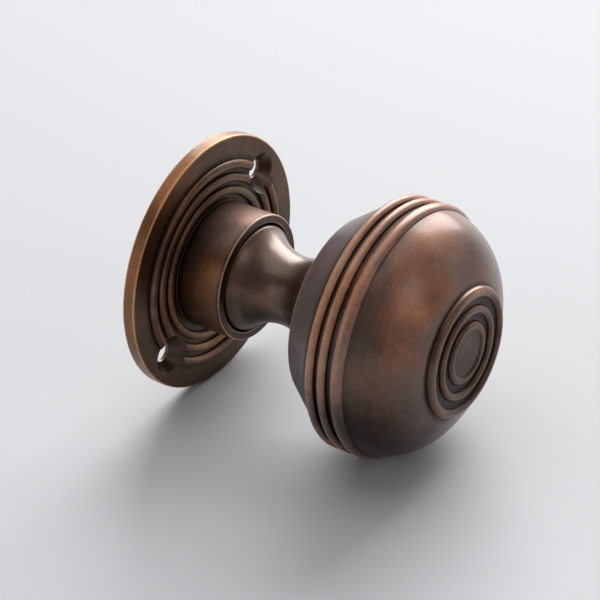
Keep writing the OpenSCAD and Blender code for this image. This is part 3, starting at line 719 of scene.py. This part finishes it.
# the back of the knob, with the plain band behind the reeds
def makeBack(s):
    bm, path = penStart(s["stud"], s["seatUp"])
    penLine(bm, path, s["seat"], s["seatUp"], 3)
    edgeUp = s["coveUp"] + s["coveRound"]
    lean = math.atan2(s["bandEndUp"] - edgeUp, s["bandEnd"] - s["coveMid"])
    trim = s["edgeRound"] * math.tan(lean / 2)
    swing = math.acos(trim / s["coveRound"]) - math.asin((s["seatUp"] - s["coveUp"]) / s["coveRound"])
    penArc(bm, path, s["coveMid"], s["coveUp"], -math.degrees(swing), 24)
    penArc(bm, path, s["coveMid"] - trim, edgeUp + s["edgeRound"], math.degrees(lean), 6)
    penLine(bm, path, s["bandEnd"], s["bandEndUp"], 30)
    penLine(bm, path, s["spigotOut"], s["bandEndUp"], 2)
    penLine(bm, path, s["spigotOut"], s["spigotUp"], 2)
    penLine(bm, path, s["spigotIn"], s["spigotUp"])
    penLine(bm, path, s["spigotIn"], s["spigotFootUp"])
    penLine(bm, path, s["floor"], s["floorUp"])
    penLine(bm, path, s["nutWell"], s["floorUp"])
    penLine(bm, path, s["nutWell"], s["nutFloorUp"])
    penLine(bm, path, s["stud"], s["nutFloorUp"])
    back = turnPiece("knob_back_cup", bm, path, s, True)

    cutters = bmesh.new()
    addDowelHoles(cutters, s, s["seatUp"] - overrun, s["seatUp"] + s["dowelDepth"])
    cutAway(back, cutters)
    finishPiece(back, backBronze, s["sharp"])
    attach(back, "knob")
    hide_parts("knob_back")
    return back


back = makeBack(backLook)
print("back of the knob made:", len(back.data.polygons), "faces")

shellLook = {
    "startUp": 46.902, "groove": 27.85, "reedHeight": 1.2, "reedWidths": (2.15, 2.15, 3.3), "reedGap": 0.85,
    "reedEdge": 0.06, "domeRound": 16.7, "domeLean": 14.2, "wall": 2.6, "bore": 25.25,
    "bossRadius": 15, "ledge": 13, "ledgeDepth": 1.6,
    "wearAndShadeReach": 0.5, "hollowShadeReach": 2, "meets": ((27.85, 46.902), (15, 68.58)), "turns": 256, "sharp": 38,
    "zones": (
        (27.9, 31, 46, 57, 0.15, 0.35), (28.6, 31, 46, 57, 0.08, 0.4), (27, 28.35, 48.8, 53.0, -0.05, 0.15)),
}


# radius of the arc that has this width and height
def arcRadius(width, height):
    return (width ** 2 / 4 + height ** 2) / (2 * height)


# three reeds and the dome, as one hollow shell
def makeShell(s):
    up = s["startUp"]
    bm, path = penStart(s["bore"], up)
    penLine(bm, path, s["groove"], up, 3)
    crest = s["groove"] + s["reedHeight"]
    for i, width in enumerate(s["reedWidths"]):
        up += s["reedGap"] if i else s["reedEdge"]
        penLine(bm, path, s["groove"], up, 4 if i else 1)
        crown = min(s["reedHeight"], width / 2)
        if crown < s["reedHeight"]:
            penLine(bm, path, crest - crown, up)
        radius = arcRadius(width, crown)
        half = math.degrees(math.acos((radius - crown) / radius))
        penArc(bm, path, crest - radius, up + width / 2, 2 * half, 22)
        up += width
        if crown < s["reedHeight"]:
            penLine(bm, path, s["groove"], up)
    up += s["reedEdge"]
    penLine(bm, path, s["groove"], up)
    lean = math.radians(s["domeLean"])
    midRadius = s["groove"] - s["domeRound"] * math.cos(lean)
    midUp = up - s["domeRound"] * math.sin(lean)
    bossTurn = math.degrees(math.acos((s["bossRadius"] - midRadius) / s["domeRound"]))
    penArc(bm, path, midRadius, midUp, bossTurn - s["domeLean"], 80)
    edgeUp = midUp + s["domeRound"] * math.sin(math.radians(bossTurn))
    penLine(bm, path, s["bossRadius"], edgeUp - s["ledgeDepth"], 4)
    penLine(bm, path, s["ledge"], edgeUp - s["ledgeDepth"])
    innerRound = s["domeRound"] - s["wall"]
    innerHigh = math.acos((s["ledge"] - midRadius) / innerRound)
    innerLow = math.asin((up - midUp) / innerRound)
    penLine(bm, path, s["ledge"], midUp + innerRound * math.sin(innerHigh))
    penArc(bm, path, midRadius, midUp, math.degrees(innerLow - innerHigh), 24)
    penLine(bm, path, s["bore"], up)
    shell = turnPiece("knob_shell_reeded", bm, path, s, True)
    finishPiece(shell, shellBronze, s["sharp"])
    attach(shell, "knob")
    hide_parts("knob_shell")
    return shell


shell = makeShell(shellLook)
print("shell made:", len(shell.data.polygons), "faces")

bossLook = {
    "radius": 14.98, "seatUp": 66.982, "spigotRadius": 12.98, "spigotUp": 64.782,
    "crestUp": 70.082, "ringMids": (13.75, 9.925, 6.225), "ringWidths": (2.5, 2.05, 2.25),
    "ringHeights": (1.15, 0.8, 0.8), "grooveDepth": 0.8, "dishDepth": 0.4,
    "wearAndShadeReach": 0.45, "hollowShadeReach": 1.5, "meets": (), "turns": 192, "sharp": 38,
    "zones": ((5.2, 16, 69.6, 72, 0.05, 0.25), (7.1, 12.8, 69, 69.55, -0.12, 0.15), (13.4, 16, 69, 72, 0.12, 0.5)),
}


# the ringed boss on the face; its rings go from the outside in
def makeBoss(s):
    bm, path = penStart(0, s["spigotUp"])
    penLine(bm, path, s["spigotRadius"], s["spigotUp"], 2)
    penLine(bm, path, s["spigotRadius"], s["seatUp"])
    penLine(bm, path, s["radius"], s["seatUp"])
    floorUp = s["crestUp"] - s["grooveDepth"]
    dishUp = s["crestUp"] - s["dishDepth"]
    lastRing = len(s["ringMids"]) - 1
    for i, (mid, width, height) in enumerate(zip(s["ringMids"], s["ringWidths"], s["ringHeights"])):
        radius = arcRadius(width, height)
        ringUp = s["crestUp"] - radius
        outAngle = math.asin((floorUp - ringUp) / radius)
        if i == 0:
            outAngle = math.acos((s["radius"] - mid) / radius)
        inAngle = math.asin(((dishUp if i == lastRing else floorUp) - ringUp) / radius)
        penLine(bm, path, mid + radius * math.cos(outAngle), ringUp + radius * math.sin(outAngle), 5)
        penArc(bm, path, mid, ringUp, math.degrees(math.pi - inAngle - outAngle), 22)
    penLine(bm, path, 0, dishUp, 10)
    boss = turnPiece("face_boss_ringed", bm, path, s, False)
    finishPiece(boss, bossBronze, s["sharp"])
    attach(boss, "knob")
    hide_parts("face_boss")
    return boss


boss = makeBoss(bossLook)
print("boss made:", len(boss.data.polygons), "faces")

springLook = {"roseEndUp": 6.83, "drumEndUp": 3.12, "sharp": 50}


# winds up between its tang in the rose and its tang in the drum
def makeSpring(s):
    bm = bmesh.new()
    bm.from_mesh(nodes["return_spring"].data)
    bmesh.ops.remove_doubles(bm, verts=bm.verts[:], dist=1e-6)
    spring = makePiece("return_spring_coil", bm)
    finishPiece(spring, springSteel, s["sharp"])
    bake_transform(spring, "rose", "knob", start=(0, -s["roseEndUp"] * mm, 0), end=(0, -s["drumEndUp"] * mm, 0))
    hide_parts("return_spring")
    return spring


spring = makeSpring(springLook)
print("spring made:", len(spring.data.polygons), "faces")

# the other pieces inside stay as they come from the frame
insideFinish = {
    "bearing_bush": milkyNylon, "thrust_washer": milkyNylon, "stop_pin": zincSteel,
    "back_cover": zincSteel, "cover_screws": screwSteel, "spring_drum": zincSteel, "circlip": springSteel,
    "grub_screw": springSteel, "dowel_pins": zincSteel, "lock_washer": zincSteel, "core_nut": zincSteel,
}
for name, finish in insideFinish.items():
    for materialSlot in nodes[name].material_slots:
        materialSlot.material = finish
print("inside pieces finished:", len(insideFinish))

# the knob lies on the rim of its rose and on its last reed, which give the floor its tilt
# the floor's size and the lamps' places and sizes are in metres, their power in watts
stageLook = {
    "rimPoint": (-3, -30), "reedPoint": (-54.3, -29.05), "sink": 0.02, "size": 6,
    "floorColor": (0.57, 0.578, 0.593), "floorRough": 0.7, "worldColor": (1.0, 1.0, 1.02), "worldLevel": 0.22,
    "lamps": (
        ("window", (1.895, 0.543, 1.185), (1.9, 1.8), 74),
        ("wall", (2.176, -0.879, 0.499), (2.6, 1.0), 6),
        ("ceiling", (0.3, 0.6, 2.3), (3.0, 3.0), 26),
        ("side", (-1.487, 1.248, 0.484), (1.8, 1.0), 5),
        ("fill", (-0.2, -1.6, 1.1), (0.9, 0.9), 2.5),
    ),
}


def makeStage(s):
    floorBm = bmesh.new()
    bmesh.ops.create_grid(floorBm, x_segments=1, y_segments=1, size=s["size"] / 2)
    (nearY, nearZ), (farY, farZ) = s["rimPoint"], s["reedPoint"]
    tilt = math.atan2(nearZ - farZ, nearY - farY)
    place = Matrix.Translation((0, nearY * mm, (nearZ - s["sink"]) * mm)) @ Matrix.Rotation(tilt, 4, "X")
    bmesh.ops.transform(floorBm, matrix=place, verts=floorBm.verts[:])
    floor = makePiece("floor", floorBm)
    paleFloor, _, shader = newMaterial("paleFloor")
    shader.inputs["Base Color"].default_value = (*s["floorColor"], 1)
    shader.inputs["Roughness"].default_value = s["floorRough"]
    floor.data.materials.append(paleFloor)

    world = bpy.data.worlds.new("studio")
    bpy.context.scene.world = world
    world.use_nodes = True
    air = world.node_tree.nodes["Background"]
    air.inputs["Color"].default_value = (*s["worldColor"], 1)
    air.inputs["Strength"].default_value = s["worldLevel"]

    for name, place, size, power in s["lamps"]:
        lamp = bpy.data.lights.new(name, "AREA")
        lamp.shape, lamp.energy = "RECTANGLE", power
        lamp.size, lamp.size_y = size
        holder = bpy.data.objects.new(name, lamp)
        bpy.context.scene.collection.objects.link(holder)
        holder.location = place
        holder.rotation_euler = (-Vector(place)).to_track_quat("-Z", "Y").to_euler()


makeStage(stageLook)
print("floor and lamps set:", len(stageLook["lamps"]), "lamps")

cameraLook = {
    "place": (-0.3733, -0.2839, 0.2785), "forward": (0.7002, 0.4832, -0.5258), "lens": 144, "sensor": 36,
}


def makeCamera(s):
    data = bpy.data.cameras.new("view")
    data.lens, data.sensor_width = s["lens"], s["sensor"]
    camera = bpy.data.objects.new("view", data)
    bpy.context.scene.collection.objects.link(camera)
    camera.location = s["place"]
    camera.rotation_euler = Vector(s["forward"]).to_track_quat("-Z", "Y").to_euler()
    bpy.context.scene.camera = camera


makeCamera(cameraLook)
bpy.context.scene.view_settings.view_transform = "Standard"
print("camera set")
